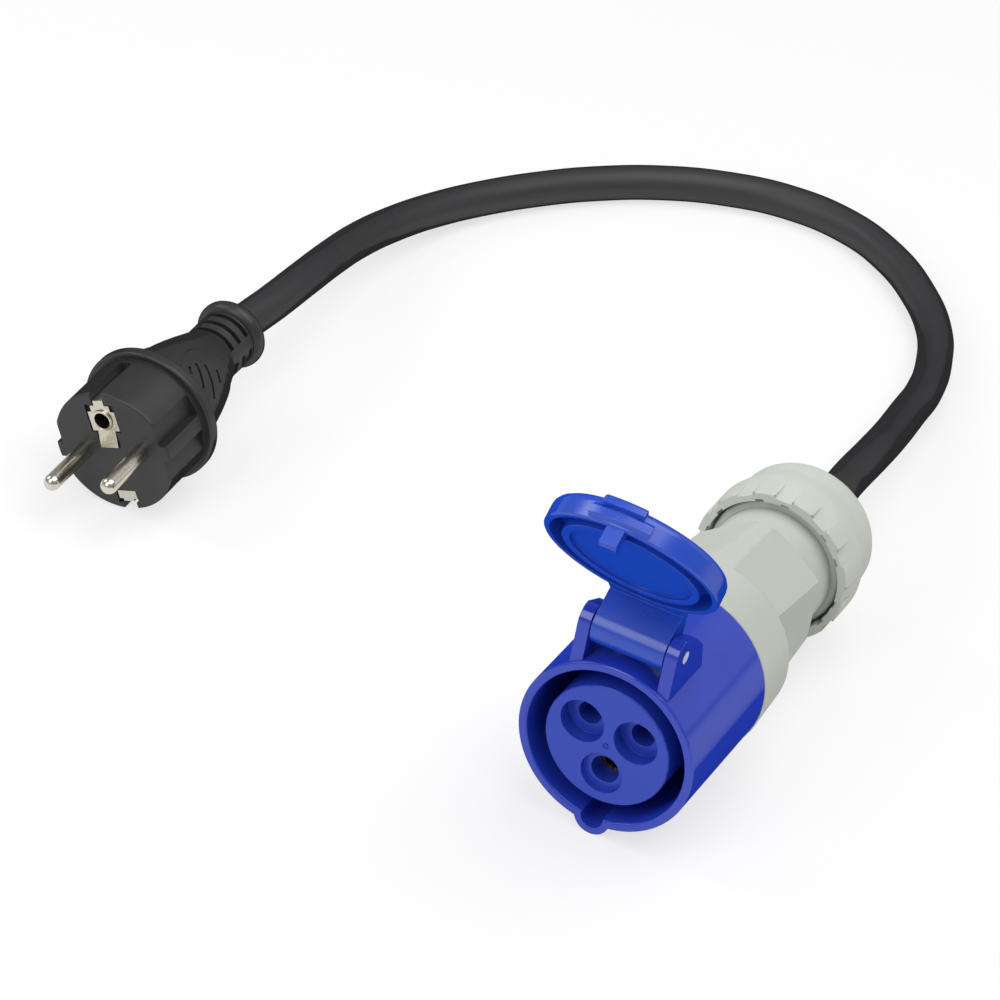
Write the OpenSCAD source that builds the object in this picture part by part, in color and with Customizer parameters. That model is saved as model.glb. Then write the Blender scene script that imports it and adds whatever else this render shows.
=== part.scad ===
// Adapter cable: a blue three-pole pin-and-sleeve coupler with a sprung lid, a grey rear
// housing with a gland nut, a short rubber cable and a moulded earthed plug.
// The coupler lies along Y with its mouth towards -Y, and the table is at z = 0.

/* [Socket housing] */
// Outer radius of the blue housing
housing_r = 24.6; // [23:0.1:30]
// Wall round the socket mouth
housing_wall = 2.5; // [2:0.1:3.5]
// Length of the blue housing
housing_length = 43; // [40:0.5:60]
// Length of the grey spigot that plugs into the blue housing
spigot_length = 4; // [3:0.5:6]
// Radius of the keyway groove under the mouth
key_r = 3.1; // [2.5:0.1:4]
// Wall round the keyway groove
key_wall = 1.9; // [1.5:0.1:3]
// Rounding of the rim's edges
rim_round = 0.7; // [0.3:0.1:1]

/* [Hinge] */
// Height of the hinge pin above the top of the blue housing
hinge_rise = 6.4; // [6:0.1:9]
// Distance of the hinge pin behind the rim
hinge_back = 7; // [6.8:0.1:12]
// Radius of the steel hinge pin
hinge_pin_r = 1.7; // [1.2:0.1:1.9]
// Radius of the lid's hinge barrel
barrel_r = 5.2; // [4.8:0.1:5.6]
// Space between the two hinge lugs
lug_gap = 21; // [18:0.5:24]
// Thickness of each hinge lug
lug_t = 3.4; // [2.5:0.1:5]
// How far the lugs reach ahead of the pin and above it
lug_reach = 5.2; // [5:0.1:6]
// Wire radius of the lid spring
spring_wire_r = 0.45; // [0.3:0.05:0.5]
// Turns of the lid spring
spring_turns = 5.5; // [3.5:1:6.5]

/* [Lid] */
// How far the lid's edge lies inside the blue housing's
lid_inset = 0.8; // [0.4:0.1:1.5]
// Depth of the lid from its outer face to the edge of its skirt
lid_depth = 7; // [6:0.1:10]
// Thickness of the lid's skirt
lid_wall = 1.7; // [1.2:0.1:2.5]
// Thickness of the lid's disc
lid_floor = 1.8; // [1.2:0.1:3]
// Angle at which the lid stands open
lid_open = 143; // [90:1:150]
// How much further the lid can be pushed open
lid_past = 37; // [0:1:40]

/* [Contacts] */
// Radius of the round contact insert
insert_r = 17.4; // [16.6:0.1:18]
// How far the insert's face lies behind the rim
insert_recess = 1; // [0:0.1:3]
// Thickness of the insert's rear flange
insert_flange = 5; // [3:0.5:7]
// Radius of the circle on which the contacts sit
contact_circle_r = 8.75; // [8.2:0.05:9.5]
// Bore radius of the live and neutral sleeves
live_r = 2.5; // [2:0.05:2.6]
// Bore radius of the earth sleeve
earth_r = 3; // [2.5:0.05:3.1]
// Wall of the live and neutral sleeves
live_wall = 0.6; // [0.5:0.05:0.9]
// Wall of the earth sleeve
earth_wall = 0.75; // [0.6:0.05:1.2]
// Radius of the wide mouth in front of a live or neutral sleeve
live_mouth_r = 6.1; // [4.5:0.1:6.4]
// Depth of that mouth
live_mouth_depth = 4.4; // [2:0.1:6]
// Radius of the wide mouth in front of the earth sleeve
earth_mouth_r = 5.8; // [5:0.1:6.4]
// Depth of that mouth
earth_mouth_depth = 2.1; // [1:0.1:4]

/* [Rear housing] */
// How far the grey collar stands proud of the blue housing
collar_proud = 0.3; // [0:0.1:1]
// Length of the grey collar
collar_length = 16.5; // [12:0.5:20]
// Length of the faceted body behind the collar
body_length = 29.5; // [24:0.5:40]
// Distance from the axis to the flat sides of the body
side_flat = 17.8; // [17.5:0.1:20]
// Radius of the smooth neck under the nut
neck_r = 17.1; // [16.8:0.1:17.4]
// Length of the neck
neck_length = 29; // [26:0.5:36]

/* [Cable gland] */
// Outer radius of the gland nut
nut_r = 22.4; // [22:0.1:26]
// Length of the gland nut
nut_length = 28.5; // [28.5:0.5:40]
// Gap between the body and the nut's mouth
nut_gap = 10.5; // [9:0.5:12]
// Wall of the gland nut at its mouth
nut_wall = 2; // [1.8:0.1:3]
// Number of grip hollows round the nut
nut_hollows = 12; // [6:1:14]
// Length of the ratchet teeth inside the nut
ratchet_length = 4.5; // [2:0.5:5]
// Number of ratchet teeth inside the nut
ratchet_teeth = 36; // [18:6:48]

/* [Cable] */
// Diameter of the cable
cable_d = 11; // [8:0.1:11.2]
// Radius of each insulated core
core_r = 1.5; // [1:0.05:1.55]

/* [Plug] */
// Radius of the plug's front block
plug_face_r = 18.5; // [18:0.1:19]
// Length of the front block to the middle of the flange
plug_block_length = 20.3; // [19:0.1:25]
// Radius of the plug's flange
flange_r = 20.4; // [19.5:0.1:24]
// Thickness of the plug's flange
flange_t = 3.6; // [3:0.1:6]
// Length of the plug behind its face
plug_length = 66.5; // [62:0.5:80]
// Radius of the contact pins
pin_r = 2.4; // [2:0.05:2.4]
// Length of the contact pins in front of the face
pin_length = 19; // [15:0.5:20]
// Distance between the two contact pins
pin_spacing = 19; // [18:0.5:20]
// Bore radius of the earth socket
earth_socket_r = 2.45; // [2.4:0.05:2.5]
// Distance of the earth socket from the line of the pins
earth_socket_rise = 10; // [9.5:0.1:10.5]

/* [Hidden] */
$fn = 96;

// Clearances: fixed seats, the running hinge, pieces that pass each other, the table
seat_gap = 0.05;
running_gap = 0.05;
moving_gap = 0.3;
table_gap = 0.1;
// Overcut that takes a cutting body past the face it leaves
past = 1;
// Segments of a rounded corner
round_steps = 4;

// Stations along the coupler, from the rim's face
shoulder_y = housing_length - spigot_length - insert_flange;
spigot_y = housing_length - spigot_length;
snap_y = housing_length - spigot_length / 2;
collar_end_y = housing_length + collar_length;
body_end_y = collar_end_y + body_length;
neck_end_y = body_end_y + neck_length;
nut_y = body_end_y + nut_gap;
nut_end_y = nut_y + nut_length;

// Housing bores, snap groove and the keyway's axis below the coupler's axis
socket_r = housing_r - housing_wall;
seat_r = socket_r + 0.75;
snap_proud = 0.4;
snap_half = 0.8;
key_drop = socket_r + 0.4;
key_boss_r = key_r + key_wall;
key_taper = 8;

// Where the coupler lies: the key boss rests on the table, the origin is under the middle of its length
axis_height = key_drop + key_boss_r;
origin_back = 52.2;

// Hinge axis and lugs
hinge_z = housing_r + hinge_rise;
lug_foot_z = 0.8 * socket_r;
lug_front_y = 0.8;
lug_round = 4.6;
lug_back = [[6.8, 1.8], [11.8, -3]];
lug_heel = 14.4;
barrel_w = lug_gap - 2 * moving_gap;
pin_proud = 0.3;

// Lid spring: a coil round the pin in a pocket of the barrel, with a straight leg at each end
coil_r = hinge_pin_r + 1.3;
spring_pocket_r = coil_r + spring_wire_r + 0.4;
spring_pocket_x = 1.2;
coil_start_x = spring_pocket_x + 1.6;
coil_end_x = barrel_w / 2 - 1.4;
leg_in = 1.5;
leg_bend_r = 1;
leg_hole_r = spring_wire_r + 0.1;
leg_hole_depth = leg_in + 0.4;
leg_angle = 90;
coil_angle = 360 * spring_turns;
bend_angle = leg_bend_r / coil_r * 180 / PI;
leg_slot_play = 12;
leg_slot_sweep = lid_open + lid_past + 2 * leg_slot_play;
leg_slot_start = leg_angle - coil_angle + lid_past + leg_slot_play;
spring_steps = 14;
spring_sides = 8;

// Lid: gap to the rim when shut, rounding, inner ring, hook and thumb pad
lid_r = housing_r - lid_inset;
lid_gap = 0.4;
lid_face_y = -lid_gap - lid_depth;
lid_round = 2.5;
lid_bevel = 0.4;
ring_inset = 5.1;
ring_out_r = lid_r - ring_inset;
ring_wall = 2.2;
ring_rise = 0.2;
disc_drop = 1;
lid_dish = 2.2;
lid_dish_edge = 0.8;
hook_w = 4.7;
hook_t = 4;
hook_out_r = key_drop + 1.2;
hook_in_r = hook_out_r - hook_t;
hook_reach = 5.2;
hook_nose = hook_t / 5;
thumb_angle = 40;
thumb_proud = 0.9;
thumb_lip_angle = 26;
thumb_lip_proud = 1.9;
thumb_lip_t = 3;
thumb_slant = 0.8;

// Contacts: angles round the axis, then stations of the sleeves and their terminals
live_angle = 150;
neutral_angle = 30;
earth_angle = -90;
sleeve_fit = 0.1;
live_sleeve_r = live_r + live_wall;
earth_sleeve_r = earth_r + earth_wall;
live_step = 7;
live_front_y = insert_recess + live_mouth_depth + live_step;
earth_step = 6;
earth_front_y = insert_recess + earth_mouth_depth + earth_step;
sleeve_collar = 1.5;
sleeve_lip = 1.1;
sleeve_bore_end = shoulder_y + 1;
terminal_length = 16;
sleeve_end_y = spigot_y + terminal_length;
slit_w = 0.6;
slit_stop = 12;
slit_end_y = shoulder_y - slit_stop;
wire_hole_r = core_r + sleeve_fit;
wire_hole_depth = 11;
screw_back = 5;
terminal_y = sleeve_end_y - screw_back;
screw_r = 1.2;
screw_head_r = 2.1;
screw_head_t = 1.6;
screw_slot = 0.6;
gate_r = 0.9;
gate_depth = 0.4;
gate_nub_r = 0.4;

// Rear housing: outline, facets and the hollow inside
collar_r = housing_r + collar_proud;
collar_end_r = collar_r - 0.8;
body_start_r = collar_r - 1.1;
body_taper = 4.7;
body_end_r = collar_r - body_taper;
edge_round = 0.5;
panel_angles = [55, 125, 235, 305];
panel_front = collar_r - 3.2;
panel_back = side_flat + 0.1;
panel_tilt = atan((panel_front - panel_back) / body_length);
chamber_r = socket_r - 2;
chamber_cone = 6.5;
chamber_end_y = collar_end_y + 1 - chamber_cone;
waist_y = chamber_end_y + chamber_cone;
waist_r = side_flat - 2.2;
waist_end_y = body_end_y - 4;
gland_wall = 3.5;
gland_wall_y = nut_y + 0.5;
gland_hole_r = cable_d / 2 + 1.5;
cage_seat_r = neck_r - 2.9;
cage_y = gland_wall_y + gland_wall;
stop_r = neck_r + 1.9;
stop_start = 2;
stop_t = 3;
stop_y = nut_y + stop_start;
stop_end_y = stop_y + stop_t;
thread_r = neck_r + 1.1;
thread_start = 6;
thread_y = nut_y + thread_start;
thread_pitch = 2;
thread_root_r = thread_r - 0.6;

// Gland nut, from its mouth to its domed end
nut_mouth_r = nut_r - nut_wall;
nut_thread_r = thread_r + moving_gap;
nut_lip_r = nut_mouth_r - 0.6;
nut_lip_t = 1.6;
nut_notch_w = 2.4;
nut_notch_pairs = 6;
nut_notch_angle = 98.5;
nut_notch_spread = 10.8;
nut_hollow = 1.1;
nut_hollow_w = 5;
nut_hollow_length = 9;
nut_hollow_tilt = atan(nut_hollow / nut_hollow_length);
nut_shoulder_y = neck_end_y + 3.4;
nut_hole_r = cable_d / 2 + 0.8;
nut_taper_y = nut_y + 0.36 * nut_length;
nut_taper_end_y = nut_y + 0.63 * nut_length;
nut_dome_y = nut_y + 0.73 * nut_length;
nut_dome_r = nut_r - 2;
nut_crown_r = nut_hole_r + 3;
dome_steps = 8;
ratchet_y = thread_y - ratchet_length;
ratchet_deep = 0.8;
ratchet_root = 0.2;

// Washer, cage and seal inside the nut
washer_y = neck_end_y + 1.2;
washer_t = 2;
washer_r = cage_seat_r + 1.6;
cage_r = cage_seat_r - sleeve_fit;
cage_in_r = cage_r - 3;
cage_end_y = neck_end_y + 1;
cage_slots = 8;
cage_slot_w = 1.2;
cage_slot_length = 9;
seal_r = cage_in_r - sleeve_fit;
seal_end_y = neck_end_y - 0.5;
cable_fit = 0.1;

// Cores: from the terminals to a bundle in the cable's end
cable_reach = 5;
cable_end_y = body_end_y + cable_reach;
bundle_r = 2.2;
core_start_y = sleeve_end_y - wire_hole_depth + 0.5;
core_bend_y = sleeve_end_y + 1;
core_steps = 12;
core_sides = 10;

// Where the plug lies: it rests on its front block and flange, turned and rolled a little
plug_pitch = atan((flange_r - plug_face_r) / plug_block_length);
plug_yaw = 0.85;
plug_roll = -21.5;
plug_height = flange_r * cos(plug_pitch) - plug_block_length * sin(plug_pitch) + table_gap;
plug_at = [-173.2, -7.1, plug_height];

// Cable route over the table, from the nut round to the plug
cable_sides = 12;
cable_lead = 12;
cable_route = [[-1.5, 104.6, 25], [-3, 125.1, 21], [-5, 145.1, 16.5], [-7.5, 165.1, 12.5], [-10, 185.1, 9],
  [-15, 205.1, 6.5], [-23, 224.1, 5.6], [-35.5, 240.6, 5.6], [-51, 254.1, 5.6], [-69.5, 262.6, 5.6],
  [-90.5, 263.6, 5.6], [-110, 257.6, 5.6], [-127.5, 247.1, 5.6], [-143, 233.1, 5.6], [-155.5, 217.1, 6],
  [-166.5, 199.1, 6.5], [-174, 180.1, 8], [-177.5, 160.1, 11], [-178, 139.6, 15], [-176.5, 119.6, 19],
  [-174.5, 99.6, 22.5], [-173.5, 79.1, 24.5]];

// Plug outline behind the face
plug_round = 0.8;
flange_round = 0.8;
flange_y = plug_block_length - flange_t / 2;
flange_end_y = plug_block_length + flange_t / 2;
grip_r = plug_face_r - 3.2;
grip_steps = 8;
relief_r = cable_d / 2 + 3.35;
relief_length = 15.5;
relief_y = plug_length - relief_length;
end_ring_r = relief_r + 1.65;
end_ring_t = 5;
end_ring_round = 2.2;
cord_hole_depth = 12;

// Guide recesses and earth grooves in the front block
guide_floor = plug_face_r - 2.3;
guide_low = 2.2;
guide_high = 8.6;
guide_end_y = flange_y - 1.1;
groove_floor = plug_face_r - 3.5;
groove_end_y = flange_y - 1.6;
top_groove_w = 4;
low_groove_w = 4.8;

// Raised round grip pads on both sides, and their grooves: both ends as [behind the flange, up]
grip_pad_r = 12.4;
grip_pad_back = 9.4;
grip_pad_y = flange_end_y + grip_pad_back;
grip_pad_proud = 0.5;
grip_groove_w = 0.9;
grip_groove_depth = 0.8;
grip_grooves = [[[6.7, 10.5], [4.9, 9.2]], [[9.7, 9.8], [5.2, 4.5]], [[12.2, 7.9], [7.7, -0.3]],
  [[15.2, 4.5], [13.9, 1.2]]];

// Strain relief: rows of slots ahead of the end ring, each row in two arcs
relief_rows = 3;
relief_pitch = 3.9;
relief_slot_w = 1.6;
relief_core_r = cable_d / 2 + 1.9;
relief_slot_gap = 0.9;
slot_bridge = 26;
slot_sweep = 180 - slot_bridge;

// Pins and earth socket, as far as they are moulded in
pin_embed = 12;
pin_stem_r = pin_r - 0.5;
socket_wall = 0.6;
socket_hole_r = earth_socket_r + socket_wall + seat_gap;
socket_proud = 0.35;
socket_depth = 13;

// Earth clip: a stamped plate on the face with an arm in each groove and a strap across
clip_t = 0.8;
clip_y = 0.2;
clip_back_y = clip_y + clip_t;
clip_top_w = 6.3;
clip_wide_w = 8.9;
clip_tongue_w = 5.8;
clip_arm_w = 3.4;
clip_low_w = 6;
clip_top_z = groove_floor - 0.6;
clip_neck_z = earth_socket_rise + 2.5;
clip_waist_z = earth_socket_rise - 3.5;
clip_tongue_length = 8.3;
clip_tongue_z = earth_socket_rise - clip_tongue_length;
clip_low_z = 12.6;
tongue_lift = 0.9;
arm_z = groove_floor + 0.2;
arm_bow = 0.2;
arm_end_y = groove_end_y - 0.5;
strap_y = arm_end_y - clip_t;
pocket_gap = 0.3;

front_housing();
contact_insert();
contact_sleeve_live();
contact_sleeve_neutral();
contact_sleeve_earth();
terminal_screws();
core_live();
core_neutral();
core_earth();
lid();
hinge_pin();
lid_spring();
rear_housing();
gland_nut();
thrust_washer();
clamp_cage();
gland_seal();
cable();
plug_body();
plug_pin_left();
plug_pin_right();
plug_earth_clip();
plug_earth_socket();

// Shared helpers

// Places the coupler and the plug in the part's frame
module at_coupler() {
  translate([0, -origin_back, axis_height]) children();
}

module at_plug() {
  translate(plug_at) rotate([plug_pitch, 0, plug_yaw]) rotate([0, plug_roll, 0]) children();
}

// Stands what is drawn along Z along Y, from station y on
module along_y(y = 0) {
  translate([0, y, 0]) rotate([-90, 0, 0]) children();
}

// Turns what is drawn upwards round Y until it points at angle a
module facing(a) {
  rotate([0, 90 - a, 0]) children();
}

// Body of revolution round Y from points (radius, station)
module turned(points) {
  along_y() rotate_extrude() polygon(points);
}

// Extrudes an outline drawn in (y, z) to both sides of X = 0
module across_x(w) {
  rotate([90, 0, 90]) linear_extrude(w, center = true) children();
}

module rod_y(r, y0, y1) {
  along_y(y0) cylinder(r = r, h = y1 - y0);
}

module ring_y(r_out, r_in, y0, y1) {
  difference() {
    rod_y(r_out, y0, y1);
    rod_y(r_in, y0 - past, y1 + past);
  }
}

function arc(c, r, a0, a1) =
  [for (i = [0:round_steps]) let (a = a0 + (a1 - a0) * i / round_steps) c + r * [cos(a), sin(a)]];

function unit(v) = v / norm(v);

function tangent(p, i) = unit(p[min(i + 1, len(p) - 1)] - p[max(i - 1, 0)]);

// Ring of points round p[i], with the reference direction ref across the tube
function tube_ring(p, i, ref, r, sides) =
  let (t = tangent(p, i), u = unit(cross(ref, t)), v = cross(t, u))
  [for (s = [0:sides - 1]) p[i] + r * (cos(360 * s / sides) * u + sin(360 * s / sides) * v)];

// Tube of radius r through the points p with flat ends, refs being one reference direction per point
module tube(p, refs, r, sides) {
  last = (len(p) - 1) * sides;
  points = [for (i = [0:len(p) - 1]) each tube_ring(p, i, refs[i], r, sides)];
  walls = [for (i = [0:len(p) - 2], s = [0:sides - 1])
    let (a = i * sides + s, b = i * sides + (s + 1) % sides)
    each [[a, a + sides, b], [b, a + sides, b + sides]]];
  near_end = [for (s = [0:sides - 1]) s];
  far_end = [for (s = [0:sides - 1]) last + sides - 1 - s];
  polyhedron(points, concat([near_end], walls, [far_end]));
}

// Blue housing with key boss and hinge lugs

module front_housing() {
  color("#3f55c0") at_coupler() difference() {
    union() {
      turned(concat([[0, 0]], arc([housing_r - rim_round, rim_round], rim_round, 270, 360),
        [[housing_r, housing_length], [0, housing_length]]));
      key_boss();
      for (side = [-1, 1]) translate([side * (lug_gap + lug_t) / 2, 0, 0]) across_x(lug_t) lug_outline();
    }
    housing_void();
    translate([0, 0, -key_drop]) rod_y(key_r, -past, shoulder_y - 2);
    hinge_rod(hinge_pin_r + seat_gap, lug_gap + 2 * lug_t + past);
    translate(coil_point(lug_gap / 2 - past, leg_angle)) rotate([0, 90, 0])
      cylinder(r = leg_hole_r, h = leg_hole_depth + past);
  }
}

module housing_void() {
  turned(concat([[0, -past], [socket_r + rim_round, -past]],
    arc([socket_r + rim_round, rim_round], rim_round, 270, 180),
    [[socket_r, shoulder_y], [seat_r, shoulder_y]], snap_bead(seat_r, 0.2),
    [[seat_r, housing_length + past], [0, housing_length + past]]));
}

// Points of the snap bead on radius r, grown by gap along the axis
function snap_bead(r, gap) = [[r, snap_y - snap_half - gap], [r + snap_proud, snap_y - snap_half / 2 - gap],
  [r + snap_proud, snap_y + snap_half / 2 + gap], [r, snap_y + snap_half + gap]];

module key_boss() {
  translate([0, 0, -key_drop]) {
    rod_y(key_boss_r, 0, shoulder_y);
    along_y(shoulder_y) cylinder(r1 = key_boss_r, r2 = key_wall, h = key_taper);
  }
}

// Lug with a leaning front, a rounded top over the pin and a back that slopes down in two stretches
module lug_outline() {
  pin = [hinge_back, hinge_z];
  top = pin + (lug_reach - lug_round) * [-1, 1];
  polygon(concat([[lug_front_y, lug_foot_z]], arc(top, lug_round, 180, 90), [for (q = lug_back) pin + q],
    [[hinge_back + lug_heel, lug_foot_z]]));
}

// Rod along the hinge axis, centred on X = 0
module hinge_rod(r, w) {
  translate([-w / 2, hinge_back, hinge_z]) rotate([0, 90, 0]) cylinder(r = r, h = w);
}

module hinge_pin() {
  color("#c9ccd0") at_coupler() hinge_rod(hinge_pin_r, lug_gap + 2 * (lug_t + pin_proud));
}

// Lid, drawn shut and swung open round the hinge

module lid() {
  color("#2343b5") at_coupler() difference() {
    swung_open() shut_lid();
    hinge_rod(hinge_pin_r + running_gap, barrel_w + past);
    translate([spring_pocket_x, hinge_back, hinge_z]) rotate([0, 90, 0])
      cylinder(r = spring_pocket_r, h = barrel_w / 2);
    leg_slot();
  }
}

// Arc slot in the pocket's floor, in which the spring's leg slides as the lid swings
module leg_slot() {
  translate([spring_pocket_x - leg_hole_depth, hinge_back, hinge_z]) rotate([0, 90, 0])
    rotate([0, 0, 90 + leg_slot_start - leg_slot_sweep]) rotate_extrude(angle = leg_slot_sweep)
    translate([coil_r - leg_hole_r, 0]) square([2 * leg_hole_r, leg_hole_depth + past]);
}

module swung_open() {
  translate([0, hinge_back, hinge_z]) rotate([-lid_open, 0, 0])
    translate([0, -hinge_back, -hinge_z]) children();
}

module shut_lid() {
  lid_cap();
  difference() {
    across_x(barrel_w) tongue_outline();
    rod_y(lid_r - lid_wall, lid_face_y - past, past);
  }
  hinge_rod(barrel_r, barrel_w);
  across_x(hook_w) hook_outline();
  thumb_pad();
  thumb_lip();
}

// Dished disc with rounded rim, skirt and the raised ring inside
module lid_cap() {
  floor_y = lid_face_y + lid_floor;
  ring_y = -lid_gap + ring_rise;
  dish_r = ring_out_r - lid_dish_edge;
  turned(concat([[0, lid_face_y + lid_dish], [dish_r - lid_dish, lid_face_y + lid_dish],
    [dish_r, lid_face_y]], arc([lid_r - lid_round, lid_face_y + lid_round], lid_round, 270, 360),
    [[lid_r, -lid_gap - lid_bevel], [lid_r - lid_bevel, -lid_gap], [lid_r - lid_wall, -lid_gap],
    [lid_r - lid_wall, floor_y], [ring_out_r, floor_y], [ring_out_r, ring_y],
    [ring_out_r - ring_wall, ring_y], [ring_out_r - ring_wall, ring_y - disc_drop],
    [0, ring_y - disc_drop]]));
}

// Tongue from the lid's edge over the rim to the barrel
module tongue_outline() {
  root_z = lid_r - lid_wall - 1;
  polygon([[lid_face_y + lid_round, root_z], [lid_face_y + 1.2, lid_r - 1], [lid_face_y + 2.8, lid_r + 4],
    [hinge_back - barrel_r * cos(30), hinge_z + barrel_r * sin(30)], [hinge_back, hinge_z],
    [hinge_back, hinge_z - barrel_r], [-lid_gap - lid_bevel, hinge_z - barrel_r],
    [-lid_gap - lid_bevel, root_z]]);
}

// Hook that grows out of the skirt and reaches into the keyway when the lid is shut
module hook_outline() {
  tip_y = hook_reach - lid_gap;
  root_r = lid_r - lid_wall / 2;
  polygon([[lid_face_y + lid_floor / 2, -hook_in_r], [tip_y, -hook_in_r - hook_nose],
    [tip_y, -hook_out_r + hook_nose], [tip_y - hook_nose, -hook_out_r], [-lid_gap, -hook_out_r],
    [-lid_gap - lid_bevel, -root_r], [lid_face_y + lid_floor, -root_r]]);
}

// Low pad on the skirt
module thumb_pad() {
  on_skirt(thumb_angle) polygon([[lid_r - 1, lid_round], [lid_r, lid_round],
    [lid_r + thumb_proud, lid_round + thumb_slant], [lid_r + thumb_proud, lid_depth - 2 * thumb_slant],
    [lid_r, lid_depth - thumb_slant], [lid_r - 1, lid_depth - thumb_slant]]);
}

// Lip for the thumb at the lid's outer edge
module thumb_lip() {
  on_skirt(thumb_lip_angle) polygon([[lid_r - lid_round, 0], [lid_r + thumb_lip_proud - thumb_slant, 0],
    [lid_r + thumb_lip_proud, thumb_slant], [lid_r + thumb_lip_proud, thumb_lip_t - thumb_slant],
    [lid_r, thumb_lip_t], [lid_r - 1, thumb_lip_t], [lid_r - lid_round, lid_floor]]);
}

// Turns an outline (radius, depth from the lid's outer face) about the lid's axis, opposite the hinge
module on_skirt(angle) {
  along_y(lid_face_y) rotate([0, 0, 90 - angle / 2]) rotate_extrude(angle = angle) children();
}

// Lid spring

function coil_point(x, a) = [x, hinge_back + coil_r * cos(a), hinge_z + coil_r * sin(a)];

// Stations (x, angle) of the spring's wire from the leg in the lid to the leg in the lug
function spring_path() =
  let (n = spring_turns * spring_steps, first = leg_angle - coil_angle)
  concat([[spring_pocket_x - leg_in, first]],
    [for (b = [0, 30, 60]) [coil_start_x - leg_bend_r * (1 - sin(b)), first + bend_angle * (1 - cos(b))]],
    [for (i = [0:n]) [coil_start_x + (coil_end_x - coil_start_x) * i / n,
      first + bend_angle + (coil_angle - 2 * bend_angle) * i / n]],
    [for (b = [60, 30, 0]) [coil_end_x + leg_bend_r * (1 - sin(b)), leg_angle - bend_angle * (1 - cos(b))]],
    [[lug_gap / 2 + leg_in, leg_angle]]);

module lid_spring() {
  path = spring_path();
  wire = [for (q = path) coil_point(q.x, q.y)];
  outward = [for (q = path) [0, cos(q.y), sin(q.y)]];
  color("#b9bcc0") at_coupler() tube(wire, outward, spring_wire_r, spring_sides);
}

// Contact insert, sleeves, screws and cores

function contact_at(a) = contact_circle_r * [cos(a), 0, sin(a)];

module contact_insert() {
  flange_out_r = seat_r - seat_gap;
  color("#4052b8") at_coupler() difference() {
    turned(concat([[0, insert_recess]],
      arc([insert_r - rim_round, insert_recess + rim_round], rim_round, 270, 360), [[insert_r, shoulder_y],
      [flange_out_r, shoulder_y], [flange_out_r, spigot_y], [0, spigot_y]]));
    for (a = [live_angle, neutral_angle]) contact_hole(a, live_sleeve_r, live_mouth_r, live_mouth_depth);
    contact_hole(earth_angle, earth_sleeve_r, earth_mouth_r, earth_mouth_depth);
    ring_y(gate_r, gate_nub_r, insert_recess - past, insert_recess + gate_depth);
  }
}

module contact_hole(a, sleeve_r, mouth_r, mouth_depth) {
  translate(contact_at(a)) {
    rod_y(sleeve_r + sleeve_fit, insert_recess - past, spigot_y + past);
    rod_y(mouth_r, insert_recess - past, insert_recess + mouth_depth);
  }
}

// Sleeve with spring slits in front, a stop collar and a screw terminal behind
module contact_sleeve(a, bore_r, sleeve_r, front_y) {
  color("#d9b765") at_coupler() translate(contact_at(a)) difference() {
    union() {
      rod_y(sleeve_r, front_y, sleeve_end_y);
      rod_y(sleeve_r + sleeve_lip, spigot_y, spigot_y + sleeve_collar);
    }
    rod_y(bore_r, front_y - past, sleeve_bore_end);
    rod_y(wire_hole_r, sleeve_end_y - wire_hole_depth, sleeve_end_y + past);
    for (turn = [0, 90]) rotate([0, turn, 0]) translate([-slit_w / 2, front_y - past, -sleeve_r - past])
      cube([slit_w, slit_end_y - front_y + past, 2 * (sleeve_r + past)]);
    translate([0, terminal_y, 0]) facing(a) cylinder(r = screw_r + seat_gap, h = sleeve_r + past);
  }
}

module contact_sleeve_live() {
  contact_sleeve(live_angle, live_r, live_sleeve_r, live_front_y);
}

module contact_sleeve_neutral() {
  contact_sleeve(neutral_angle, live_r, live_sleeve_r, live_front_y);
}

module contact_sleeve_earth() {
  contact_sleeve(earth_angle, earth_r, earth_sleeve_r, earth_front_y);
}

module terminal_screws() {
  color("#b9bcc0") at_coupler() {
    for (a = [live_angle, neutral_angle]) terminal_screw(a, live_sleeve_r);
    terminal_screw(earth_angle, earth_sleeve_r);
  }
}

// Slotted screw whose tip stops at the core
module terminal_screw(a, sleeve_r) {
  tip = core_r + seat_gap;
  head = sleeve_r + 0.2;
  translate(contact_at(a) + [0, terminal_y, 0]) facing(a) difference() {
    union() {
      translate([0, 0, tip]) cylinder(r = screw_r, h = head - tip + screw_head_t / 2);
      translate([0, 0, head]) cylinder(r = screw_head_r, h = screw_head_t);
    }
    translate([-screw_slot / 2, -screw_head_r - past, head + screw_head_t / 2])
      cube([screw_slot, 2 * (screw_head_r + past), screw_head_t]);
  }
}

// Core from its terminal, easing over to its place in the bundle
function core_path(a) =
  concat([contact_at(a) + [0, core_start_y, 0]],
    [for (i = [0:core_steps]) let (t = i / core_steps, ease = t * t * (3 - 2 * t))
      contact_at(a) * (1 - ease) + bundle_r * [cos(a), 0, sin(a)] * ease
      + [0, core_bend_y + (cable_end_y - core_bend_y) * t, 0]]);

module core(a) {
  path = core_path(a);
  at_coupler() tube(path, [for (q = path) [0, 0, 1]], core_r, core_sides);
}

module core_live() {
  color("#6b3f22") core(live_angle);
}

module core_neutral() {
  color("#2f62b0") core(neutral_angle);
}

module core_earth() {
  color("#7da63a") core(earth_angle);
}

// Grey rear housing

module rear_housing() {
  color("#c5c9c2") at_coupler() difference() {
    rear_shell();
    for (a = panel_angles) facing(a) translate([-collar_r, collar_end_y, panel_front])
      rotate([-panel_tilt, 0, 0]) cube([2 * collar_r, body_length + 2, collar_r]);
    for (turn = [0, 180]) rotate([0, turn, 0]) translate([side_flat, collar_end_y + edge_round, -collar_r])
      cube([collar_r, body_length + past, 2 * collar_r]);
    rear_void();
  }
}

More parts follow.
